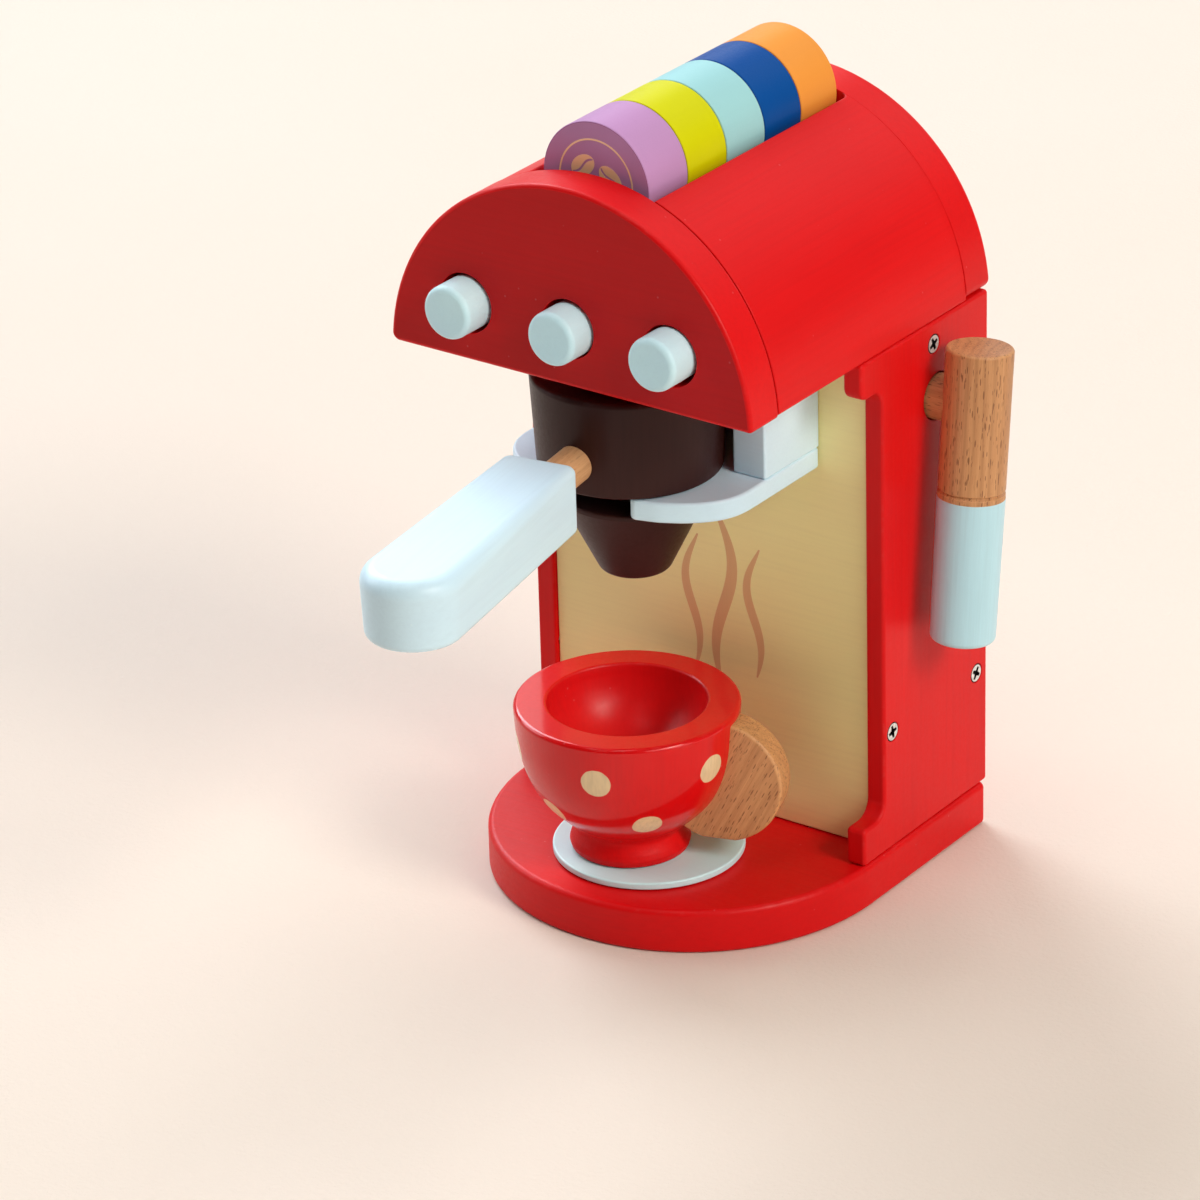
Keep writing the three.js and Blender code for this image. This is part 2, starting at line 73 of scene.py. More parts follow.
class Shader:
    """A node material; every method returns an output socket."""

    def __init__(self, name):
        self.material = bpy.data.materials.new(name)
        self.material.use_nodes = True
        self.tree = self.material.node_tree
        self.tree.nodes.clear()
        self.bsdf = self.tree.nodes.new("ShaderNodeBsdfPrincipled")
        out = self.tree.nodes.new("ShaderNodeOutputMaterial")
        self.tree.links.new(self.bsdf.outputs[0], out.inputs[0])

    def put(self, socket, value):
        if isinstance(value, bpy.types.NodeSocket):
            self.tree.links.new(value, socket)
        else:
            socket.default_value = value

    def set(self, **values):
        for k, v in values.items():
            self.put(self.bsdf.inputs[k.replace("_", " ")], v)

    def math(self, op, a, b=0.0, c=None, clamp=False):
        n = self.tree.nodes.new("ShaderNodeMath")
        n.operation, n.use_clamp = op, clamp
        self.put(n.inputs[0], a)
        self.put(n.inputs[1], b)
        if c is not None:
            self.put(n.inputs[2], c)
        return n.outputs[0]

    def vec(self, op, a, b=(0, 0, 0)):
        n = self.tree.nodes.new("ShaderNodeVectorMath")
        n.operation = op
        self.put(n.inputs[0], a)
        self.put(n.inputs[1], b)
        return n.outputs["Value" if op in ("LENGTH", "DISTANCE", "DOT_PRODUCT") else "Vector"]

    def parts(self, v):
        n = self.tree.nodes.new("ShaderNodeSeparateXYZ")
        self.put(n.inputs[0], v)
        return n.outputs[0], n.outputs[1], n.outputs[2]

    def join(self, x, y, z):
        n = self.tree.nodes.new("ShaderNodeCombineXYZ")
        for i, v in enumerate((x, y, z)):
            self.put(n.inputs[i], v)
        return n.outputs[0]

    def noise(self, v, detail=2.0, rough=0.5, distort=0.0, scale=1.0):
        n = self.tree.nodes.new("ShaderNodeTexNoise")
        self.put(n.inputs["Vector"], v)
        n.inputs["Scale"].default_value = scale
        n.inputs["Detail"].default_value = detail
        n.inputs["Roughness"].default_value = rough
        n.inputs["Distortion"].default_value = distort
        return n.outputs[0]

    def cells(self, v, scale=1.0, feature="F1"):
        n = self.tree.nodes.new("ShaderNodeTexVoronoi")
        n.feature = feature
        self.put(n.inputs["Vector"], v)
        n.inputs["Scale"].default_value = scale
        return n.outputs["Distance"], n.outputs["Color"]

    def remap(self, v, a, b, lo=0.0, hi=1.0, smooth=False):
        n = self.tree.nodes.new("ShaderNodeMapRange")
        n.interpolation_type = "SMOOTHSTEP" if smooth else "LINEAR"
        n.clamp = True
        self.put(n.inputs[0], v)
        for i, x in enumerate((a, b, lo, hi)):
            n.inputs[i + 1].default_value = x
        return n.outputs[0]

    def mix(self, f, a, b, blend="MIX"):
        n = self.tree.nodes.new("ShaderNodeMix")
        n.data_type, n.blend_type = "RGBA", blend
        self.put(n.inputs[0], f)
        self.put(n.inputs[6], a)
        self.put(n.inputs[7], b)
        return n.outputs[2]

    def ramp(self, f, stops):
        n = self.tree.nodes.new("ShaderNodeValToRGB")
        self.put(n.inputs[0], f)
        el = n.color_ramp.elements
        while len(el) < len(stops):
            el.new(0.5)
        for e, (p, col) in zip(el, stops):
            e.position, e.color = p, col
        return n.outputs[0]

    def attribute(self, name):
        n = self.tree.nodes.new("ShaderNodeAttribute")
        n.attribute_name = name
        return n.outputs["Fac"]

    def bump(self, height, mm, under=None):
        n = self.tree.nodes.new("ShaderNodeBump")
        n.inputs["Strength"].default_value = 1.0
        n.inputs["Distance"].default_value = mm * MM
        self.put(n.inputs["Height"], height)
        if under is not None:
            self.put(n.inputs["Normal"], under)
        return n.outputs[0]

    def where(self, turns=(), grain="z"):
        """Place on the piece in millimetres, turned so that the grain runs along z."""
        v = self.tree.nodes.new("ShaderNodeTexCoord").outputs["Object"]
        v = self.vec("MULTIPLY", v, (1000, 1000, 1000))
        for t in turns:
            n = self.tree.nodes.new("ShaderNodeMapping")
            self.put(n.inputs["Vector"], v)
            n.inputs["Rotation"].default_value = [radians(a) for a in t]
            v = n.outputs[0]
        if grain != "z":
            x, y, z = self.parts(v)
            v = self.join(y, z, x) if grain == "x" else self.join(z, x, y)
        return v

    def grain(self, v, across, along):
        return self.vec("MULTIPLY", v, (across, across, along))


def scaled(col, k):
    return tuple(min(1.0, x * k) for x in col[:3]) + (1.0,)


def towards(a, b, t):
    return tuple(x + (y - x) * t for x, y in zip(a[:3], b[:3])) + (1.0,)


def paint(name, colour, grain="z", turns=(), rough=0.42, coat=0.12, streak=0.06, relief=0.012, peel=0.006,
          wear_and_highlight=0.06, speck=0.5, cloth=0.0, spots=None, level=0.5, sheen=0.22):
    """Sprayed and lacquered wood: the grain telegraphs through, the surface has a slight orange peel and tiny specks,
    and the rounded edges are painted lighter, partly thinner paint and partly a painted highlight."""
    m = Shader(name)
    v = m.where(turns, grain)
    broad = m.noise(m.grain(v, 0.03, 0.012), detail=2)
    lines = m.noise(m.grain(v, 0.75, 0.022), detail=3, rough=0.6)
    fine = m.noise(m.grain(v, 2.1, 0.09), detail=2, rough=0.55)
    skin = m.noise(v, detail=2, rough=0.5, scale=0.85)
    col = m.mix(m.remap(broad, 0.3, 0.7), scaled(colour, 0.95), scaled(colour, 1.05))
    col = m.mix(m.math("MULTIPLY", m.remap(lines, 0.42, 0.68), streak * 4), col, scaled(colour, 0.8))
    col = m.mix(m.math("MULTIPLY", m.remap(fine, 0.5, 0.75), streak * 2), col, scaled(colour, 1.12))
    height = m.math("MULTIPLY", m.math("ADD", m.math("MULTIPLY", lines, 0.65), m.math("MULTIPLY", fine, 0.35)), relief)
    height = m.math("ADD", height, m.math("MULTIPLY", skin, peel))
    if speck:
        d, tint = m.cells(v, scale=0.16)
        dot = m.math("MULTIPLY", m.remap(d, 0.03, 0.075, 1.0, 0.0, smooth=True),
                     m.remap(m.parts(tint)[0], 0.55, 0.6))
        col = m.mix(m.math("MULTIPLY", dot, 0.35 * speck), col, towards(scaled(colour, 1.1), (1, 1, 1, 1), 0.35))
        height = m.math("ADD", height, m.math("MULTIPLY", dot, 0.02 * speck))
    if cloth:
        nub = m.noise(v, detail=4, rough=0.7, scale=1.3)
        height = m.math("ADD", height, m.math("MULTIPLY", m.remap(nub, 0.45, 0.75), cloth))
        col = m.mix(m.math("MULTIPLY", m.remap(nub, 0.55, 0.8), 0.25), col, scaled(colour, 0.86))
    # Rounded edges are painted lighter, broken up by noise: partly thinner paint, partly a painted highlight.
    if wear_and_highlight:
        lighter_edge = m.math("MULTIPLY", m.attribute("edge"), m.remap(m.noise(v, detail=4, rough=0.6, scale=0.25), 0.4, 0.72))
        lighter_edge = m.math("MULTIPLY", m.remap(lighter_edge, 0.3, 0.9, smooth=True), wear_and_highlight)
        col = m.mix(lighter_edge, col, towards(colour, (0.9, 0.8, 0.7, 1), 0.3))
    if spots:
        mask = None
        for p, r in spots[0]:
            wobble = m.math("ADD", m.vec("DISTANCE", v, p), m.math("MULTIPLY", m.noise(v, scale=0.35), 0.5))
            one = m.remap(wobble, r + 0.17, r + 0.37, 1.0, 0.0)
            mask = one if mask is None else m.math("MAXIMUM", mask, one)
        ink = m.mix(m.remap(m.noise(m.grain(v, 0.9, 0.12), detail=3), 0.35, 0.7), spots[1], scaled(spots[1], 0.86))
        col = m.mix(mask, col, ink)
        height = m.math("ADD", height, m.math("MULTIPLY", mask, 0.025))
    shine = m.math("ADD", m.remap(skin, 0.3, 0.7, rough - 0.04, rough + 0.05), m.math("MULTIPLY", m.remap(broad, 0.3, 0.7), 0.05))
    m.set(Base_Color=col, Roughness=shine, Normal=m.bump(height, 1.0))
    m.bsdf.inputs["Coat Weight"].default_value = coat
    m.bsdf.inputs["Coat Roughness"].default_value = sheen
    m.bsdf.inputs["Specular IOR Level"].default_value = level
    return m.material


def timber(name, light, dark, fleck, grain="z", turns=(), rough=0.5, flecks=1.0, ring=0.35, pith=(-46.0, 31.0), coat=0.08):
    """Oiled beech: growth rings about a pith outside the piece, long fibres, and short dark medullary flecks."""
    m = Shader(name)
    v = m.where(turns, grain)
    x, y, z = m.parts(v)
    bend = m.noise(m.grain(v, 0.05, 0.012), detail=2)
    rx = m.math("SUBTRACT", x, pith[0])
    ry = m.math("SUBTRACT", y, pith[1])
    dist = m.math("SQRT", m.math("ADD", m.math("MULTIPLY", rx, rx), m.math("MULTIPLY", ry, ry)))
    dist = m.math("ADD", dist, m.math("MULTIPLY", bend, 9.0))
    rings = m.math("SINE", m.math("MULTIPLY", dist, 2.1))
    late = m.math("POWER", m.remap(rings, -1, 1), 3.0)
    fibre = m.noise(m.grain(v, 1.6, 0.035), detail=4, rough=0.65)
    broad = m.noise(m.grain(v, 0.16, 0.01), detail=2)
    col = m.mix(m.remap(fibre, 0.3, 0.72), light, dark)
    col = m.mix(m.math("MULTIPLY", late, ring), col, scaled(dark, 0.82))
    col = m.mix(m.math("MULTIPLY", m.remap(broad, 0.4, 0.7), 0.3), col, scaled(light, 1.1))
    marks = None
    for k, (across, along, size) in enumerate(((0.8, 0.14, 0.24), (1.15, 0.19, 0.25), (1.5, 0.26, 0.24))):
        moved = m.vec("ADD", m.grain(v, across, along), (3.7 * k, 1.3 * k, 8.1 * k))
        d, tint = m.cells(moved)
        one = m.math("MULTIPLY", m.remap(d, size * 0.7, size, 1.0, 0.0, smooth=True), m.remap(m.parts(tint)[1], 0.15, 0.6))
        marks = one if marks is None else m.math("MAXIMUM", marks, one)
    pores = m.remap(m.noise(m.grain(v, 3.4, 0.3), detail=1), 0.64, 0.72)
    marks = m.math("MAXIMUM", marks, m.math("MULTIPLY", pores, 0.35))
    col = m.mix(m.math("MULTIPLY", marks, 0.85 * flecks, clamp=True), col, fleck)
    # Rounded edges are painted lighter: a painted highlight along them.
    lighter_edge = m.math("MULTIPLY", m.attribute("edge"), 0.25)
    col = m.mix(lighter_edge, col, scaled(light, 1.2))
    height = m.math("SUBTRACT", m.math("MULTIPLY", fibre, 0.025), m.math("MULTIPLY", marks, 0.02))
    m.set(Base_Color=col, Roughness=m.remap(fibre, 0.3, 0.7, rough - 0.06, rough + 0.08), Normal=m.bump(height, 1.0))
    m.bsdf.inputs["Coat Weight"].default_value = coat
    m.bsdf.inputs["Coat Roughness"].default_value = 0.35
    return m.material


def metal(name, colour, rough=0.28, brushed=(0.0, 0.0, 0.0)):
    m = Shader(name)
    v = m.where()
    n = m.noise(v, detail=3, scale=1.4)
    col = m.mix(m.remap(n, 0.35, 0.7), colour, scaled(colour, 0.72))
    m.set(Base_Color=col, Roughness=m.remap(n, 0.3, 0.7, rough - 0.06, rough + 0.14),
          Normal=m.bump(m.noise(v, detail=2, scale=3.0), 0.008))
    m.bsdf.inputs["Metallic"].default_value = 1.0
    return m.material


RED = rgb(218, 9, 13)
ICE = rgb(210, 239, 254)
CREAM = rgb(255, 241, 169)
BROWN = rgb(54, 26, 23)
GOLD = rgb(255, 222, 172)

red_x = paint("red_lacquer_across", RED, grain="x", level=0.16, coat=0.05)
red_y = paint("red_lacquer_lengthwise", RED, grain="y", level=0.16, coat=0.05)
red_z = paint("red_lacquer_upright", RED, grain="z", level=0.16, coat=0.05)
# A darker copy of the red lacquer for the front face of the head's front plate: painted shade, as that face is turned
# away from the lamps.
red_front_painted_shade = paint("red_lacquer_front_painted_shade", rgb(194, 10, 15), grain="x", level=0.14, coat=0.05)
red_in = paint("red_lacquer_inside", RED, grain="x", rough=0.5, coat=0.0, level=0.16)
ice_x = paint("pale_blue_paint_across", ICE, grain="x", rough=0.46, streak=0.03, wear_and_highlight=0.04)
ice_y = paint("pale_blue_paint_lengthwise", ICE, grain="y", turns=((0, 0, -8.25),), rough=0.44, streak=0.035, relief=0.02, wear_and_highlight=0.04)
ice_button = paint("pale_blue_paint_buttons", rgb(207, 243, 255), grain="y", rough=0.5, streak=0.02, relief=0.01, cloth=0.05, speck=1.0, wear_and_highlight=0.04)
ice_wand = paint("pale_blue_paint_wand", rgb(188, 229, 241), grain="z", turns=((6, 0, 0),), rough=0.42, streak=0.07, relief=0.05,
                 speck=0.8, wear_and_highlight=0.04)
cream = paint("cream_paint", CREAM, grain="x", rough=0.46, streak=0.035, relief=0.01, wear_and_highlight=0.06, coat=0.06)
brown = paint("dark_brown_paint", BROWN, grain="z", rough=0.4, streak=0.12, relief=0.02, wear_and_highlight=0.05, coat=0.05, level=0.16)
steam = paint("brown_print", rgb(228, 184, 130), grain="z", rough=0.5, streak=0.03, relief=0.004, wear_and_highlight=0, speck=0, coat=0)
gold = paint("gold_print", GOLD, grain="x", rough=0.42, streak=0.04, relief=0.004, wear_and_highlight=0, speck=0, coat=0)

BEECH = (rgb(208, 153, 101), rgb(181, 123, 76), rgb(110, 62, 30))
beech_wand = timber("beech_wand", *BEECH, turns=((6, 0, 0),), pith=(22.0, -8.0), ring=0.55, flecks=0.85)
beech_x = timber("beech_peg", *BEECH, grain="x", pith=(20.0, 110.0))
beech_dowel = timber("beech_dowel", rgb(218, 172, 124), rgb(194, 142, 94), rgb(130, 84, 50), grain="y", turns=((0, 0, -8.25),), pith=(120.0, 20.0), flecks=0.3)
beech_handle = timber("beech_cup_handle", rgb(216, 159, 104), rgb(188, 128, 78), rgb(122, 68, 33), turns=((0, 0, -17.5), (0, -27, 0)),
                      pith=(-60.0, 80.0), flecks=0.85)
BIRCH = (rgb(222, 190, 146), rgb(202, 164, 116), rgb(160, 120, 78))
birch_x = timber("birch_across", *BIRCH, grain="x", flecks=0.4, ring=0.25)
birch_y = timber("birch_lengthwise", *BIRCH, grain="y", flecks=0.4, ring=0.25)
steel = metal("zinc_steel", rgb(252, 252, 250), rough=0.6)
# Near-black steel for the screws' cross recess and the side of the head inside its hole: painted shade in these
# hollows.
steel_painted_shade = metal("zinc_steel_recess_painted_shade", rgb(40, 38, 38), rough=0.7)
spring_steel = metal("spring_steel", rgb(186, 188, 192), rough=0.22)


# ------------------------------------------------------------------ outlines
def area(points):
    return sum(a[0] * b[1] - b[0] * a[1] for a, b in zip(points, points[1:] + points[:1])) / 2


def outline(points, n=8):
    """Closed outline, anticlockwise, as (x, y, normal x, normal y, edge). A corner (x, y, r) is rounded to radius r."""
    pts = [tuple(p) + (0,) * (3 - len(p)) for p in points]
    if area(pts) < 0:
        pts.reverse()
    out = []
    for i, (x, y, r) in enumerate(pts):
        v = Vector((x, y))
        a = (Vector(pts[i - 1][:2]) - v).normalized()
        b = (Vector(pts[(i + 1) % len(pts)][:2]) - v).normalized()
        turn = -a.x * b.y + a.y * b.x  # above 0 on a convex corner
        na, nb = Vector((-a.y, a.x)), Vector((b.y, -b.x))
        if not r:
            m = (na + nb).normalized()
            out.append((x, y, m.x, m.y, 0.0))
            continue
        half = acos(max(-1, min(1, a.dot(b)))) / 2
        mid = (a + b).normalized()
        centre = v + mid * (r / sin(half))
        sweep = pi - 2 * half
        steps = max(2, round(n * sweep / (pi / 2)))
        sign = 1 if turn > 0 else -1
        start = na if sign > 0 else -na
        for k in range(steps + 1):
            t = sign * sweep * k / steps
            d = Vector((start.x * cos(t) - start.y * sin(t), start.x * sin(t) + start.y * cos(t)))
            p = centre + d * r
            e = sin(pi * k / steps) if r < 4 and sweep > 0.6 and sign > 0 else 0.0
            out.append((p.x, p.y, d.x * sign, d.y * sign, e))
    return out


def ring(cx, cy, r, n=64, hole=False):
    sign = -1 if hole else 1
    return [(cx + r * cos(t), cy + r * sin(t), sign * cos(t), sign * sin(t), 0.0) for t in (2 * pi * k / n for k in range(n))]


def hole(loop):
    return [(x, y, -nx, -ny, e) for x, y, nx, ny, e in loop]


def smooth(points, n=8):
    """Points on a smooth curve through the given ones."""
    p = [Vector(q[:2]) for q in points]
    p = [2 * p[0] - p[1]] + p + [2 * p[-1] - p[-2]]
    out = []
    for i in range(1, len(p) - 2):
        a, b, c_, d = p[i - 1], p[i], p[i + 1], p[i + 2]
        ta = 0.0
        tb = ta + sqrt((b - a).length)
        tc = tb + sqrt((c_ - b).length)
        td = tc + sqrt((d - c_).length)
        for k in range(n):
            t = tb + (tc - tb) * k / n
            a1 = a * ((tb - t) / (tb - ta)) + b * ((t - ta) / (tb - ta))
            a2 = b * ((tc - t) / (tc - tb)) + c_ * ((t - tb) / (tc - tb))
            a3 = c_ * ((td - t) / (td - tc)) + d * ((t - tc) / (td - tc))
            b1 = a1 * ((tc - t) / (tc - ta)) + a2 * ((t - ta) / (tc - ta))
            b2 = a2 * ((td - t) / (td - tb)) + a3 * ((t - tb) / (td - tb))
            q = b1 * ((tc - t) / (tc - tb)) + b2 * ((t - tb) / (tc - tb))
            out.append((q.x, q.y))
    out.append(tuple(p[-2]))
    return out


# ------------------------------------------------------------------ mesh builder
class Build:
    """Vertices with their exact normals and an edge value, in millimetres."""

    def __init__(self):
        self.v, self.n, self.e, self.f, self.m = [], [], [], [], []

    def vert(self, p, n, e=0.0):
        self.v.append(Vector(p))
        self.n.append(Vector(n).normalized())
        self.e.append(e)
        return len(self.v) - 1

    def face(self, ids, mat=0):
        """Turned so that it faces the way its vertices' normals do."""
        if len(set(ids)) < 3:
            return
        ids = [i for k, i in enumerate(ids) if i != ids[k - 1]]
        a, b, d = (self.v[i] for i in ids[:3])
        n = (b - a).cross(d - a)
        if n.length < 1e-12 and len(ids) > 3:
            n = (d - a).cross(self.v[ids[3]] - a)
        if n.dot(sum((self.n[i] for i in ids), Vector())) < 0:
            ids = ids[::-1]
        self.f.append(tuple(ids))
        self.m.append(mat)

    def bridge(self, a, b, mat=0, closed=True):
        k = len(a)
        for i in range(k if closed else k - 1):
            j = (i + 1) % k
            self.face([a[i], a[j], b[j], b[i]], mat)

    def cap(self, rings, mat=0):
        """Closes flat rings: the outline first, then any holes in it."""
        flat = [i for r in rings for i in r]
        loop = [self.v[i] for i in rings[0]]
        normal = sum((p.cross(q) for p, q in zip(loop, loop[1:] + loop[:1])), Vector())
        axis = max(range(3), key=lambda k: abs(normal[k]))
        keep = [k for k in range(3) if k != axis]
        pts, edges, at = [Vector((self.v[i][keep[0]], self.v[i][keep[1]])) for i in flat], [], 0
        for r in rings:
            edges += [(at + k, at + (k + 1) % len(r)) for k in range(len(r))]
            at += len(r)
        out, _, faces, origin, _, _ = delaunay_2d_cdt(pts, edges, [], 1, 1e-5)
        for f in faces:
            mid = sum((out[k] for k in f), Vector((0, 0))) / len(f)
            odd = False
            for i, j in edges if len(rings) > 1 else ():
                p, q = pts[i], pts[j]
                if (p.y > mid.y) != (q.y > mid.y) and mid.x < p.x + (q.x - p.x) * (mid.y - p.y) / (q.y - p.y):
                    odd = not odd
            if odd or len(rings) == 1:
                self.face([flat[origin[k][0]] for k in f], mat)

    def turn(self, matrix):
        r = matrix.to_3x3()
        self.v = [matrix @ p for p in self.v]
        self.n = [(r @ n).normalized() for n in self.n]
        return self

    def mirror_x(self):
        self.v = [Vector((-p.x, p.y, p.z)) for p in self.v]
        self.n = [Vector((-n.x, n.y, n.z)) for n in self.n]
        self.f = [f[::-1] for f in self.f]
        return self

    def add(self, other, mat=None):
        k = len(self.v)
        self.v += other.v
        self.n += other.n
        self.e += other.e
        self.f += [tuple(i + k for i in f) for f in other.f]
        self.m += other.m if mat is None else [mat] * len(other.m)
        return self


def slab(loops, t, rt, rb=None, n=5, mats=(0, 0, 0)):
    """A board of thickness t with rounded edges. loops holds the outline, then any holes, each a list of points or
    (points, top radius, bottom radius)."""
    b = Build()
    rb = rt if rb is None else rb
    low, high = [], []
    for loop in loops:
        lt, lb = rt, rb
        if isinstance(loop, tuple):
            loop, lt, lb = loop
        rows = []
        for k in range(n + 1):
            a = pi / 2 * k / n
            rows.append((lb * (1 - sin(a)), lb * (1 - cos(a)), sin(a), -cos(a), sin(2 * a)))
        for k in range(n + 1):
            a = pi / 2 * (1 - k / n)
            rows.append((lt * (1 - sin(a)), t - lt * (1 - cos(a)), sin(a), cos(a), sin(2 * a)))
        last = None
        for q, (off, z, nr, nz, e) in enumerate(rows):
            now = [b.vert((x - nx * off, y - ny * off, z), (nx * nr, ny * nr, nz), e) for x, y, nx, ny, _ in loop]
            if last:
                b.bridge(last, now, mats[1])
            else:
                low.append(now)
            last = now
        high.append(last)
    b.cap(low, mats[2])
    b.cap(high, mats[0])
    return b


def lathe(profile, seg=128, n=6, mat=None, ready=None):
    """Turned about z. The profile is closed along the axis; mat(r, z, nz) picks a material for a band."""
    pts = ready or outline(profile, n)
    b = Build()
    while pts[0][0] > 1e-6 or pts[-1][0] < 1e-6:  # start on the axis, at the bottom
        pts = pts[1:] + pts[:1]
        if pts[0][0] < 1e-6 and pts[-1][0] < 1e-6:
            pts = pts[1:] + pts[:1]
            break
    k0 = next(i for i, p in enumerate(pts) if p[0] < 1e-6 and pts[(i + 1) % len(pts)][0] > 1e-6)
    pts = pts[k0:] + pts[:k0]
    pts = [p for i, p in enumerate(pts) if p[0] > 1e-6 or i == 0 or pts[i - 1][0] > 1e-6]
    last, was = None, None
    for x, z, nx, nz, e in pts:
        if x < 1e-6:
            now = [b.vert((0, 0, z), (0, 0, 1 if nz > 0 else -1))] * seg
        else:
            now = [b.vert((x * cos(t), x * sin(t), z), (nx * cos(t), nx * sin(t), nz), e) for t in (2 * pi * k / seg for k in range(seg))]
        if last:
            b.bridge(last, now, mat((was[0] + x) / 2, (was[1] + z) / 2, (was[3] + nz) / 2) if mat else 0)
        last, was = now, (x, z, nx, nz)
    return b


def piece(name, build, body, mats, replaces=()):
    me = bpy.data.meshes.new(name)
    me.from_pydata([tuple(p * MM) for p in build.v], [], build.f)
    for m in mats:
        me.materials.append(m)
    me.polygons.foreach_set("use_smooth", [True] * len(build.f))
    me.polygons.foreach_set("material_index", build.m)
    edge = me.attributes.new("edge", "FLOAT", "POINT")
    edge.data.foreach_set("value", build.e)
    me.validate()
    me.normals_split_custom_set_from_vertices([tuple(n) for n in build.n])
    ob = bpy.data.objects.new(name, me)
    bpy.context.scene.collection.objects.link(ob)
    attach(ob, body)
    if replaces:
        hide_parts(*replaces)
    return ob


def axes(x, y, z, at=(0, 0, 0)):
    return Matrix.Translation(Vector(at)) @ Matrix((x, y, z)).transposed().to_4x4()


def flat(z):  # outline in X, Y, thickness up
    return Matrix.Translation((0, 0, z))


def facing_front(y, x=0, z=0):  # outline in X, Z, thickness to -Y
    return axes((1, 0, 0), (0, 0, 1), (0, -1, 0), (x, y, z))


def facing_back(y):
    return axes((-1, 0, 0), (0, 0, 1), (0, 1, 0), (0, y, 0))


def facing_right(x, y=0, z=0):  # outline in Y, Z, thickness to +X
    return axes((0, 1, 0), (0, 0, 1), (1, 0, 0), (x, y, z))


def box_outline(x0, x1, y0, y1, r=1.0):
    return outline([(x0, y0, r), (x1, y0, r), (x1, y1, r), (x0, y1, r)], 6)


# ------------------------------------------------------------------ sizes, as in the CAD part
HALF, REAR, BASE_T = 65.0, 65.0, 14.5
PANEL_T, BODY_TOP = 6.7, 183.0
MID_FRONT, FOOT_FRONT = 6.5, -5.0
DOME_R, DOME_CZ, DOME_IN = 65.0, 180.0, 57.5
PANEL_Y = 8.1  # face of the cream panel, a little behind the panels' front edges
PLATE_FRONT, PLATE_REAR, SHELL_REAR = -62.9, -48.6, 53.3
POD_R, POD_CZ = 18.95, 241.2
POD_Y = [-46.4, -26.3, -6.0, 14.1, 33.5, 53.1]
BUTTONS = [("left", -37.0, 201.0, 24.3), ("middle", 0.25, 200.6, 23.5), ("right", 36.6, 201.0, 24.3)]
HOLES = [(-37.0, 201.0, 9.5), (0.2, 200.95, 9.35), (36.5, 200.5, 9.6)]
FILTER = (-0.4, -32.1)
PLATE_TOP = 146.2
SCREWS = [("top", 35.0, 175.5), ("front", 11.4, 54.7), ("rear", 59.6, 54.7)]
BASE_SCREWS = [("front_left", -35.0, 11.4), ("front_right", 35.0, 11.4), ("rear_left", -35.0, 59.6), ("rear_right", 35.0, 59.6)]

# ------------------------------------------------------------------ base board
HALF_B, FRONT_B, POWER = 65.4, 67.5, 2.06
rear = outline([(HALF_B, 0), (HALF_B, REAR, 2.3), (-HALF_B, REAR, 2.3), (-HALF_B, 0)], 8)
rear = [p for p in rear if p[1] > 1]
steps = 150
front = []
for k in range(steps + 1):
    t = pi + pi * k / steps
    x = HALF_B * abs(cos(t)) ** (2 / POWER) * (1 if cos(t) > 0 else -1)
    y = -FRONT_B * abs(sin(t)) ** (2 / POWER)
    n = Vector(((1 if x > 0 else -1) * abs(x / HALF_B) ** (POWER - 1) / HALF_B, -abs(y / FRONT_B) ** (POWER - 1) / FRONT_B)).normalized()
    front.append((x, y, n.x, n.y, 0.0))
loop = front + rear
screw_holes = [(ring(x, y, 3.1, 32, True), 0.1, 0.25) for _, x, y in BASE_SCREWS]
piece("base_board_painted", slab([loop] + screw_holes, BASE_T, 2.0, 1.6, n=7).turn(flat(0)), "machine", [red_x], ["base_board"])

# ------------------------------------------------------------------ side panels
z0, z1 = BASE_T + 0.3, BODY_TOP - 0.3
side = outline([
    (REAR, z0, 1.3), (REAR, z1, 1.3), (FOOT_FRONT, z1, 1.3), (FOOT_FRONT, 170.5, 3.6), (MID_FRONT, 170.5, 4.8),
    (MID_FRONT, 27.1, 5.6), (FOOT_FRONT, 27.1, 1.6), (FOOT_FRONT, z0, 1.3),
], 10)
holes = [(ring(y, z, 3.15, 32, True), 0.3, 0.3) for _, y, z in SCREWS]
piece("side_panel_left_painted", slab([side] + holes, PANEL_T, 0.9, n=5).turn(facing_right(-HALF - 0.9)), "machine", [red_z], ["side_panel_left"])
peg_hole = (ring(37.1, 157.8, 7.65, 64, True), 0.35, 0.35)
side = [(y + 0.9 if y > 50 else y, z, ny, nz, e) for y, z, ny, nz, e in side]
piece("side_panel_right_painted", slab([side] + holes + [peg_hole], PANEL_T, 1.2, n=5).turn(facing_right(HALF - PANEL_T)), "machine", [red_z], ["side_panel_right"])


# ------------------------------------------------------------------ screws: countersunk, with a cross recess
def screw():
    arm, w = 2.05, 0.56
    cross = outline([
        (arm, -w * 0.7), (arm, w * 0.7), (w, w, 0.12), (w * 0.7, arm), (-w * 0.7, arm), (-w, w, 0.12), (-arm, w * 0.7), (-arm, -w * 0.7),
        (-w, -w, 0.12), (-w * 0.7, -arm), (w * 0.7, -arm), (w, -w, 0.12),
    ], 3)
    # The cross recess walls and floor and the head's side take the near-black steel: painted shade.
    b = slab([ring(0, 0, 3.0, 48), (hole(cross), 0.12, 0.02)], 1.3, 0.22, 0.05, n=3, mats=(0, 1, 1)).turn(flat(-1.4))
    b.add(lathe([(0, -16), (1.4, -13.4, 0.5), (1.4, -3.4, 0.4), (2.85, -1.5, 0.2), (2.85, -1.15, 0.1), (0, -1.15)], 32, 3, mat=lambda r, z, nz: 1 if nz > 0.5 and r < 2.7 else 0))
    return b


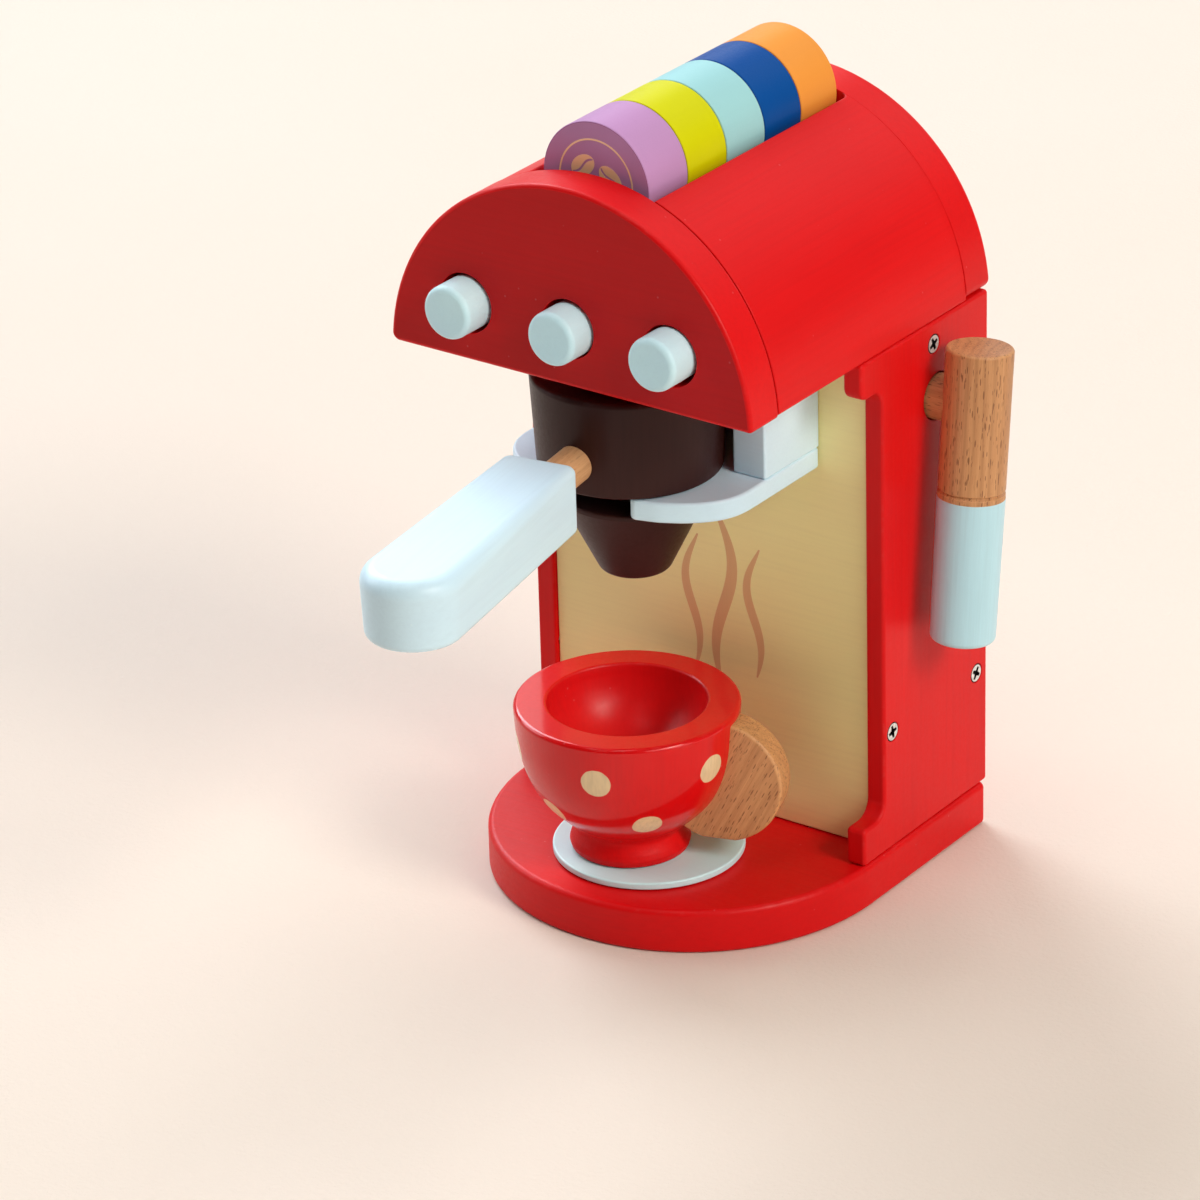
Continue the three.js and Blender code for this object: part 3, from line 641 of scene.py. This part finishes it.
for n, y, z in SCREWS:
    spin = Matrix.Rotation(radians({"top": 24, "front": 12, "rear": 58}[n]), 4, "Z")
    piece(f"screw_right_{n}", screw().turn(facing_right(HALF, y, z) @ spin), "machine", [steel, steel_painted_shade], [f"side_screw_right_{n}"])
    piece(f"screw_left_{n}", screw().turn(axes((0, -1, 0), (0, 0, 1), (-1, 0, 0), (-HALF - 0.9, y, z)) @ spin), "machine", [steel, steel_painted_shade], [f"side_screw_left_{n}"])
for k, (n, x, y) in enumerate(BASE_SCREWS):
    down = axes((1, 0, 0), (0, -1, 0), (0, 0, -1), (x, y, 0.7)) @ Matrix.Rotation(radians(20 + 31 * k), 4, "Z")
    piece(f"screw_base_{n}", screw().turn(down), "machine", [steel, steel_painted_shade], [f"base_screw_{n}"])

# ------------------------------------------------------------------ body boards
inner = HALF - PANEL_T - 0.3
piece("front_panel_painted", slab([box_outline(-inner - 1.15, inner, z0, z1, 0.8)], 9.8, 0.5, 0.7).turn(facing_front(PANEL_Y + 9.8)), "machine", [cream], ["front_panel"])
piece("back_panel_painted", slab([box_outline(-inner, inner + 0.85, z0, z1, 1.0)], 10.6, 0.9, 0.8).turn(facing_back(REAR - 10.9)), "machine", [red_z], ["back_panel"])

# ------------------------------------------------------------------ head


def arch(low_left, low_right, corner_left=2.6, corner_right=2.6, radius=DOME_R, cz=DOME_CZ, wide=1.0):
    """Round-topped plate: the arc is exact, its lower corners are rounded."""
    al = asin((low_left + corner_left - cz) / (radius - corner_left))
    ar = asin((low_right + corner_right - cz) / (radius - corner_right))
    pts = []
    k = 150
    for i in range(k + 1):
        t = ar + (pi - al - ar) * i / k
        pts.append((radius * cos(t), cz + radius * sin(t), cos(t), sin(t), 0.0))
    for i in range(1, 13):  # left corner, from the arc round to straight down
        t = pi - al + (pi / 2 + al) * i / 12
        pts.append((-(radius - corner_left) * cos(al) + corner_left * cos(t), low_left + corner_left + corner_left * sin(t), cos(t), sin(t), 0.0))
    for i in range(12):
        t = -pi / 2 + (pi / 2 + ar) * i / 12
        pts.append(((radius - corner_right) * cos(ar) + corner_right * cos(t), low_right + corner_right + corner_right * sin(t), cos(t), sin(t), 0.0))
    return [(x * wide if x < 0 else x, z, nx, nz, e) for x, z, nx, nz, e in pts]


# The plate's front face takes the darker red copy: painted shade.
plate = slab([arch(BODY_TOP, BODY_TOP - 0.85, 2.6, 1.4, wide=1.009)] + [(ring(x, z, r, 72, True), 0.25, 0.5) for x, z, r in HOLES], PLATE_REAR - PLATE_FRONT, 1.3, 0.8, n=6, mats=(1, 0, 0))
piece("dome_front_plate_painted", plate.turn(facing_front(PLATE_REAR)), "machine", [red_x, red_front_painted_shade], ["dome_front_plate"])
plate = slab([arch(BODY_TOP, BODY_TOP - 0.1, 3.0, 3.0, 65.3, 179.7)], REAR + 2.2 - SHELL_REAR - 0.06, 1.8, 0.18, n=7)
piece("dome_rear_plate_painted", plate.turn(facing_back(SHELL_REAR + 0.06)), "machine", [red_x], ["dome_rear_plate"])


def shell():
    """Right half of the curved head: a bent board from its lower edge up to the capsule slot, whose rear corner is rounded."""
    low = BODY_TOP - 0.15
    r_low, r_slot, end = 1.0, 0.7, 0.3
    y_a, y_b, corner = PLATE_REAR + 0.2, SHELL_REAR, 1.7

    def section(half):
        pts = []
        # lower outer corner
        a = asin((low + r_low - DOME_CZ) / (DOME_R - r_low))
        cx, cz = (DOME_R - r_low) * cos(a), low + r_low
        for i in range(8):
            t = -pi / 2 + (pi / 2 + a) * i / 8
            pts.append((cx + r_low * cos(t), cz + r_low * sin(t), cos(t), sin(t), sin(pi * i / 8), 0))
        # outer arc up to the slot's rounded lip
        b = acos((half + r_slot) / (DOME_R - r_slot))
        for i in range(61):
            t = a + (b - a) * i / 60
            pts.append((DOME_R * cos(t), DOME_CZ + DOME_R * sin(t), cos(t), sin(t), 0.0, 0))
        lx, lz = half + r_slot, DOME_CZ + (DOME_R - r_slot) * sin(b)
        for i in range(1, 9):
            t = b + (pi - b) * i / 8
            pts.append((lx + r_slot * cos(t), lz + r_slot * sin(t), cos(t), sin(t), sin(pi * i / 8), i / 8))
        # slot wall down to the inner face
        ib = acos((half + 0.9) / DOME_IN)
        inner_z = DOME_CZ + DOME_IN * sin(ib)
        for i in range(1, 5):
            pts.append((half, lz + (inner_z + 0.9 - lz) * i / 4, -1, 0, 0.0, 1))
        ia = asin((low - DOME_CZ) / DOME_IN)
        for i in range(41):
            t = ib + (ia - ib) * i / 40
            pts.append((DOME_IN * cos(t), DOME_CZ + DOME_IN * sin(t), -cos(t), -sin(t), 0.0, 0))
        x_in = DOME_IN * cos(ia)
        for i in range(1, 4):
            x = x_in + (cx - x_in) * i / 4
            pts.append((x, low, 0, -1, 0.0, 0))
        return pts

    b = Build()
    rows = []
    ys = [(y_a + end * (1 - cos(t)), 22.1, 0.0, end * (1 - sin(t)), (-cos(t), sin(t))) for t in (pi / 2 * i / 3 for i in range(4))]
    ys.append((y_b - corner, 22.1, 0.0, 0.0, (0.0, 1.0)))
    for i in range(1, 11):
        beta = pi / 2 * 0.93 * i / 10
        ys.append((y_b - corner + corner * sin(beta), 22.1 - corner * (1 - cos(beta)), beta, 0.0, (0.0, 1.0)))
    last_half, last_beta = ys[-1][1], ys[-1][2]
    for i in range(1, 4):
        t = pi / 2 * (1 - i / 3)
        ys.append((y_b - end * (1 - cos(t)), last_half, last_beta, end * (1 - sin(t)), (cos(t), sin(t))))
    for y, half, beta, off, (ny, nr) in ys:
        now = []
        for x, z, nx, nz, e, slot in section(half):
            n = Vector((nx * nr, ny, nz * nr))
            if beta and slot:
                n = Vector((nx * (1 - slot) - cos(beta) * slot, -sin(beta) * slot, nz))
            now.append(b.vert((x - nx * off, y, z - nz * off), n, max(e, sin(pi * off / end) * 0.8 if off else 0)))
        if rows:
            b.bridge(rows[-1], now)
        rows.append(now)
    b.cap([rows[0]])
    b.cap([rows[-1]])
    return b


piece("dome_shell_right_painted", shell(), "machine", [red_y], ["dome_shell_right"])
piece("dome_shell_left_painted", shell().mirror_x(), "machine", [red_y], ["dome_shell_left"])

# ------------------------------------------------------------------ capsules: painted turned discs with a printed face
PODS = {
    "purple": (rgb(189, 142, 189), rgb(134, 52, 116)), "lime": (rgb(208, 208, 0), rgb(150, 152, 22)),
    "aqua": (rgb(158, 210, 213), rgb(74, 152, 168)), "blue": (rgb(0, 75, 151), rgb(6, 44, 104)),
    "orange": (rgb(238, 154, 64), rgb(196, 92, 36)),
}


def bean(cx, cy, turn, a=4.6, b=3.1):
    """Oval mark cut in two by a wavy slit."""
    halves = []
    for side in (1, -1):
        pts = []
        for k in range(25):
            t = pi * k / 24
            pts.append((a * cos(t) * side, b * sin(t) * side))
        for k in range(1, 24):
            u = -1 + 2 * k / 24
            pts.append((a * u * side * 0.97, (0.34 * side + 0.55 * sin(pi * u * side))))
        halves.append([(cx + x * cos(turn) - y * sin(turn), cy + x * sin(turn) + y * cos(turn)) for x, y in pts])
    return halves


def print_on(loops, t=0.05):
    b = Build()
    for group in loops:
        b.add(slab(group, t, 0.02, 0.01, n=1))
    return b


for i, (n, (side_colour, face_colour)) in enumerate(PODS.items()):
    front_y, rear_y = POD_Y[i], POD_Y[i + 1] - 0.3
    length = rear_y - front_y
    side_mat = paint(f"{n}_capsule_paint", side_colour, grain="y", rough=0.42, streak=0.012, relief=0.016, cloth=0.012, speck=0.3, wear_and_highlight=0.04, coat=0.02, level=0.09)
    face_mat = paint(f"{n}_capsule_face", face_colour, grain="x", rough=0.46, streak=0.05, relief=0.01, wear_and_highlight=0.0, coat=0.08)
    b = lathe([(0, 0), (POD_R, 0, 0.4), (POD_R, length, 0.4), (0, length)], 144, 5, mat=lambda r, z, nz: 1 if abs(nz) > 0.97 else 0)
    b.turn(facing_front(rear_y + 0.15, 0, POD_CZ))
    piece(f"capsule_{n}", b, f"pod_{n}", [side_mat, face_mat], [f"pod_{n}"])
    for where, m in (("front", facing_front(front_y + 0.16, 0, POD_CZ)), ("rear", facing_back(rear_y + 0.14) @ Matrix.Translation((0, POD_CZ, 0)))):
        if where == "rear" and n != "orange":
            continue
        groups = [[ring(0, 0.4, 13.25, 96), (ring(0, 0.4, 12.7, 96, True), 0.02, 0.01)]]
        for cx, cy, t in ((-4.6, 4.6, 0.6), (5.2, 2.2, -0.7), (-1.6, -5.6, 0.1)):
            groups += [[outline(h)] for h in bean(cx, cy, t)]
        piece(f"capsule_{n}_print_{where}", print_on(groups).turn(m), f"pod_{n}", [gold])

# ------------------------------------------------------------------ push buttons and their springs
for n, x, bz, length in BUTTONS:
    cap = lathe([(0, -6), (4, -6, 0.4), (4, 0, 0.2), (8.4, 0, 0.5), (8.4, length, 1.95), (0, length)], 96, 9)
    piece(f"push_button_{n}", cap.turn(facing_front(PLATE_REAR, x, bz)), f"button_{n}", [ice_button], [f"button_{n}"])
    a, b_, turns, r, wire = PLATE_REAR + 0.3 + 3.2 + 0.7, -32.0 - 0.9, 4.5, 6.0, 0.6
    coil = Build()
    last = None
    k = 200
    for i in range(k + 1):
        t = 2 * pi * turns * i / k
        centre = Vector((x + r * cos(t), a + (b_ - a) * i / k, bz + r * sin(t)))
        tangent = Vector((-r * sin(t), (b_ - a) / (2 * pi * turns), r * cos(t))).normalized()
        e1 = Vector((cos(t), 0, sin(t)))
        e2 = tangent.cross(e1)
        now = [coil.vert(centre + (e1 * cos(q) + e2 * sin(q)) * wire, e1 * cos(q) + e2 * sin(q)) for q in (2 * pi * j / 10 for j in range(10))]
        if last:
            coil.bridge(last, now)
        if i in (0, k):
            coil.cap([[coil.vert(coil.v[j], tangent if i else -tangent) for j in now]])
        last = now
    ob = piece(f"coil_spring_{n}", coil, "machine", [spring_steel], [f"button_spring_{n}"])
    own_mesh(ob)

# ------------------------------------------------------------------ bracket that holds the filter
edge = smooth([(18.9, -53.0), (22.7, -51.9), (27.0, -49.9), (30.8, -47.7), (34.9, -44.3), (38.0, -40.7), (40.2, -36.3), (41.2, -31.6), (41.4, -26)], 6)
bracket = [(13.6, -54.4, 2.4)] + edge + [(41.3, PANEL_Y - 0.1, 1.6), (-41.3, PANEL_Y - 0.1, 1.6)] + [(-x, y) for x, y in reversed(edge)] + [(-13.6, -54.4, 2.4)]
bracket += [(13.6 * cos(t), FILTER[1] + 0.4 + 13.6 * sin(t)) for t in (pi - pi * k / 40 for k in range(41))]
piece("bracket_plate_painted", slab([outline(bracket, 10)], 6.7, 1.0, n=5).turn(flat(PLATE_TOP - 6.7)), "machine", [ice_x], ["bracket_plate"])
for n, x in (("left", -41.2), ("right", 29.5)):
    b = slab([box_outline(x, x + 11.7, -21.3, PANEL_Y - 0.1, 0.8)], BODY_TOP - 0.1 - PLATE_TOP - 0.1, 0.6).turn(flat(PLATE_TOP + 0.1))
    piece(f"bracket_block_{n}_painted", b, "machine", [ice_x], [f"bracket_block_{n}"])

# ------------------------------------------------------------------ filter
fx, fy = FILTER
funnel = lathe([(0, 112.3), (10.6, 112.3, 2.8), (23.0, 137.4, 0.8), (23.0, 138.9, 0.6), (12.3, 138.9, 0.4), (12.3, 146.2, 0.3), (0, 146.2)], 128, 7)
piece("filter_funnel_turned", funnel.turn(Matrix.Translation((fx + 0.8, fy + 0.25, 0))), "filter_carrier", [brown], ["filter_funnel"])
drum = lathe([(0, 146.6), (28.15, 146.6, 0.9), (29.9, 178, 1.7), (20.6, 178, 0.9), (20.2, 157.6, 1.4), (0, 157.6)], 144, 7)
piece("filter_drum_turned", drum.turn(Matrix.Translation((fx, fy, 0))), "filter_head", [brown], ["filter_drum"])
TURN = radians(8.25)
pd, pn = Vector((sin(TURN), -cos(TURN), 0)), Vector((cos(TURN), sin(TURN), 0))
origin = Vector((fx, fy, 0)) + pn * -3.9
along = axes(pn, (0, 0, 1), pd, origin)  # local z along the paddle
dowel = lathe([(0, 16), (5.8, 16, 0.6), (5.8, 56, 0.6), (0, 56)], 72, 4)
piece("filter_dowel_turned", dowel.turn(Matrix.Translation((0, 0, 156.8)) @ along), "filter_head", [beech_dowel], ["filter_dowel"])
paddle = outline([(47.6, -12.4, 3.3), (127, -15)] + [(127 + 15 * cos(t), 15 * sin(t)) for t in (-pi / 2 + pi * k / 48 for k in range(1, 48))] + [(127, 15), (47.6, 11.6, 3.3)], 10)


def paddle_body(loop, t):
    """The rounding of the top edge widens from the drum end to the tip, and the sides lean in towards the bottom."""
    b = Build()
    rows = [(0, k) for k in range(9)] + [(1, k) for k in range(8, -1, -1)]
    loops = []
    for high, k in rows:
        q = pi / 2 * k / 8
        now = []
        for x, y, nx, ny, _ in loop:
            far = max(0.0, min(1.0, (x - 55) / 75))
            far = far * far * (3 - 2 * far)
            top_in, top_down, low = 2.9 + 1.9 * far, 2.6 + 2.8 * far, 2.2
            if high:
                off, z = top_in * (1 - sin(q)), t - top_down * (1 - cos(q))
                n = (nx * sin(q) / top_in, ny * sin(q) / top_in, cos(q) / top_down)
            else:
                off, z = low * (1 - sin(q)), low * (1 - cos(q))
                n = (nx * sin(q), ny * sin(q), -cos(q))
            off += (0.9 * (1 - z / t) - 0.5) * far
            now.append(b.vert((x - nx * off, y - ny * off, z), n, sin(2 * q)))
        if loops:
            b.bridge(loops[-1], now)
        loops.append(now)
    b.cap([loops[0]])
    b.cap([loops[-1]])
    return b


b = paddle_body(paddle, 21.8)
b.turn(axes(pd, pn, (0, 0, 1), origin + Vector((0, 0, 144.9))))
piece("filter_paddle", b, "filter_head", [ice_y], ["filter_handle"])

# ------------------------------------------------------------------ saucer disc and cup
disc = lathe([(0, 0), (30.0, 0, 0.5), (30.0, 2.3, 0.6), (0, 2.3)], 160, 5)
ice_saucer = paint("pale_blue_paint_saucer", rgb(207, 248, 255), grain="x", rough=0.4, streak=0.02, relief=0.006, wear_and_highlight=0.04)
piece("saucer_disc_painted", disc.turn(Matrix.Translation((0.3, -28.3, BASE_T + 0.3))), "machine", [ice_saucer], ["saucer_disc"])

CUP, CUP_Z = (-3.1, -33.4), 17.4
foot = [(18.3, 0, 0.9), (18.9, 2.2, 1.6)]
bowl = smooth([(18.4, 3.9), (17.3, 5.9), (17.0, 7.4), (18.2, 9.4), (22.2, 12.8), (27.9, 19.2), (31.8, 27), (34.1, 36), (34.9, 44.6)], 8)
inside = smooth([(24.6, 47.3), (24.4, 45.0), (23.4, 41.1), (21.3, 36.9), (17.4, 32.4), (12.3, 29.0), (6.4, 26.9), (0, 26.2)], 8)
profile = [(0, 0)] + foot + bowl + [(35.2, 49.3, 1.5), (24.9, 49.3, 1.0)] + inside
spots = []
for ang, h in ((-71.5, 37), (-6.5, 36.2), (-136.5, 36.5), (58, 36.6), (118, 36.2), (176, 37), (-109.3, 19.7), (-43.5, 19.7), (-172, 19.5), (72, 19.8), (128, 19.6)):
    hs = [q[1] for q in bowl]
    k = min(range(len(hs)), key=lambda j: abs(hs[j] - h))
    spots.append(((CUP[0] + bowl[k][0] * cos(radians(ang)), CUP[1] + bowl[k][0] * sin(radians(ang)), CUP_Z + h), 4.7))
red_cup = paint("red_lacquer_cup", RED, grain="z", rough=0.4, coat=0.62, level=0.07, sheen=0.1, streak=0.06, relief=0.012, spots=(spots, rgb(236, 208, 164)), wear_and_highlight=0.05)
red_hollow = paint("red_lacquer_cup_hollow", rgb(217, 20, 24), grain="z", rough=0.33, coat=0.0, level=0.24, streak=0.06, relief=0.012)
red_foot = paint("red_lacquer_cup_foot", RED, grain="z", rough=0.46, coat=0.02, level=0.14, streak=0.09, relief=0.03, cloth=0.04)
b = lathe(profile, 176, 8, mat=lambda r, z, nz: 2 if z < 10.5 else 1 if r < 25.2 and z > 24 else 0)
piece("cup_bowl_turned", b.turn(Matrix.Translation((CUP[0], CUP[1], CUP_Z))), "cup", [red_cup, red_hollow, red_foot], ["cup_bowl"])

turn = radians(17.5)
sd, sn = Vector((cos(turn), sin(turn), 0)), Vector((-sin(turn), cos(turn), 0))
S0, Z0, R0 = 30.2, 44.4, 20.4


def wall(z):
    """Middle of the bowl's wall at height z."""
    h = z - CUP_Z
    r = bowl[-1][0] if h > bowl[-1][1] else 15.9
    for (r1, h1), (r2, h2) in zip(bowl, bowl[1:]):
        if h1 <= h <= h2 and h > 6:
            r = r1 + (r2 - r1) * (h - h1) / max(1e-6, h2 - h1)
    return r - 3.3


rim = []
for k in range(241):
    t = 2 * pi * k / 240 - pi
    x, z = S0 + R0 * cos(t), Z0 + R0 * sin(t)
    if x > wall(z) and z > 24.6:
        rim.append((x, z))
cut_z = [rim[-1][1] + (rim[0][1] - rim[-1][1]) * k / 30 for k in range(1, 30)]
shape = [rim[0] + (1.3,)] + rim[9:-9] + [rim[-1] + (1.3,)] + [(wall(z), z) for z in cut_z[4:-4]]
b = slab([outline(shape)], 10.4, 1.1, n=6)
b.turn(axes(sd, (0, 0, 1), -sn, Vector((CUP[0], CUP[1], 0)) + sn * 5.2))
piece("cup_handle_disc", b, "cup", [beech_handle], ["cup_handle"])

# ------------------------------------------------------------------ steam wand
WAND = (37.1, 157.8)
WAND_R, WAND_X, DOWN, LEN = 10.4, 78.9, 75.5, 94.0
rod = [
    (0, 0), (WAND_R - 0.3, 0, 1.9), (WAND_R + 0.08, 46.6, 0.07), (WAND_R - 0.05, 46.7, 0.04), (WAND_R, 47.0, 0.06), (WAND_R, 48.1, 0.3), (WAND_R - 0.75, 48.8, 0.3),
    (WAND_R, 49.5, 0.3), (WAND_R, LEN, 1.0), (0, LEN),
]
b = lathe(rod, 128, 7, mat=lambda r, z, nz: 1 if z < 46.65 else 0)
tilt = Matrix.Translation((WAND_X, WAND[0], WAND[1])) @ Matrix.Rotation(radians(-6), 4, "X")
b.turn(tilt @ Matrix.Translation((0, 0, -DOWN)))
piece("wand_rod_turned", b, "wand", [beech_wand, ice_wand], ["wand_rod"])
peg = lathe([(0, 0), (5.2, 0, 0.4), (5.2, 6, 0.2), (7.2, 6, 0.3), (7.2, WAND_X - 1.5 - 51.4, 0.5), (0, WAND_X - 1.5 - 51.4)], 72, 4)
piece("wand_peg_turned", peg.turn(facing_right(51.4, WAND[0], WAND[1])), "wand", [beech_x], ["wand_peg"])


# ------------------------------------------------------------------ steam print on the cream panel: plain rising lines
def plume(x0, z0_, height, sway, width, phase):
    n = 48
    mid = [(x0 + sway * sin(phase + 2 * pi * 1.05 * k / n) * (0.55 + 0.45 * k / n), z0_ + height * k / n) for k in range(n + 1)]
    left, right_ = [], []
    for k, (x, z) in enumerate(mid):
        p, q = mid[max(0, k - 1)], mid[min(n, k + 1)]
        d = Vector((q[0] - p[0], q[1] - p[1])).normalized()
        w = width / 2 * (sin(pi * (0.03 + 0.94 * k / n)) ** 0.75)
        left.append((x - d.y * w, z + d.x * w))
        right_.append((x + d.y * w, z - d.x * w))
    return outline(left + right_[::-1])


groups = [[plume(-6.5, 60, 46, 3.4, 3.2, 0.3)], [plume(4.5, 56, 62, 4.4, 4.2, 3.5)], [plume(16.5, 62, 44, 3.4, 3.2, 0.3)]]
b = Build()
for g in groups:
    b.add(slab(g, 0.06, 0.02, 0.01, n=1))
piece("steam_print", b.turn(facing_front(PANEL_Y + 0.02)), "machine", [steam])

# ------------------------------------------------------------------ pieces kept from the frame
KEPT = {
    "top_board": birch_x, "dome_floor": red_in, "pod_tray": birch_y, "spring_board": birch_x, "wand_washer": birch_x,
    "button_collar_left": birch_x, "button_collar_middle": birch_x, "button_collar_right": birch_x,
}
for n, m in KEPT.items():
    N[n].data.materials.clear()
    N[n].data.materials.append(m)

# ------------------------------------------------------------------ floor and light
m = Shader("floor_paper")
v = m.where()
tooth = m.noise(v, detail=3, rough=0.65, scale=0.6)
wash = m.noise(v, detail=2, scale=0.004)
m.set(Base_Color=m.mix(m.remap(wash, 0.3, 0.7), rgb(224, 211, 197), rgb(226, 213, 200)), Roughness=0.75, Normal=m.bump(tooth, 0.22))
m.bsdf.inputs["Specular IOR Level"].default_value = 0.25
me = bpy.data.meshes.new("floor")
me.from_pydata([(-6, -6, 0), (6, -6, 0), (6, 6, 0), (-6, 6, 0)], [], [(0, 1, 2, 3)])
me.materials.append(m.material)
floor = bpy.data.objects.new("floor", me)
bpy.context.scene.collection.objects.link(floor)


def lamp(name, towards_light, distance, size, power, colour, aim=(0, 0, 0.1)):
    light = bpy.data.lights.new(name, "AREA")
    light.shape = "DISK"
    light.size, light.energy, light.color = size, power, colour
    ob = bpy.data.objects.new(name, light)
    bpy.context.scene.collection.objects.link(ob)
    d = Vector(towards_light).normalized()
    ob.location = Vector(aim) + d * distance
    ob.rotation_euler = (-d).to_track_quat("-Z", "Y").to_euler()
    return ob


WHITE = (1.0, 1.0, 1.0)
lamp("key_right", (0.80, -0.10, 0.60), 4.0, 1.4, 72, (1.07, 1.0, 0.90))
lamp("key_front", (0.80, -0.40, 0.50), 4.0, 1.4, 15, WHITE)
lamp("side_right", (0.95, -0.05, 0.22), 4.0, 2.0, 21, (1.05, 1.0, 0.95))
lamp("window_left", (-0.85, 0.42, 0.72), 6.0, 3.4, 250, (0.95, 1.0, 1.08))
lamp("window_rear", (-0.55, 0.75, 0.45), 6.0, 3.4, 49, WHITE)
lamp("window_low", (-0.90, -0.15, 0.45), 6.0, 3.4, 114, (0.98, 1.0, 1.03))
lamp("overhead_rear", (0.03, 0.42, 0.90), 5.0, 2.7, 51, (0.99, 1.0, 1.03))
lamp("overhead_front", (0.0, -0.30, 0.95), 5.0, 2.7, 46, WHITE)
lamp("rear", (0.10, 0.90, 0.35), 5.5, 3.3, 47, WHITE)
world = bpy.data.worlds.new("studio")
bpy.context.scene.world = world
world.use_nodes = True
bg = world.node_tree.nodes["Background"]
bg.inputs[0].default_value = (1.0, 1.0, 1.0, 1)
bg.inputs[1].default_value = 0.03
bpy.context.scene.view_settings.view_transform = "Standard"
bpy.context.scene.view_settings.look = "None"
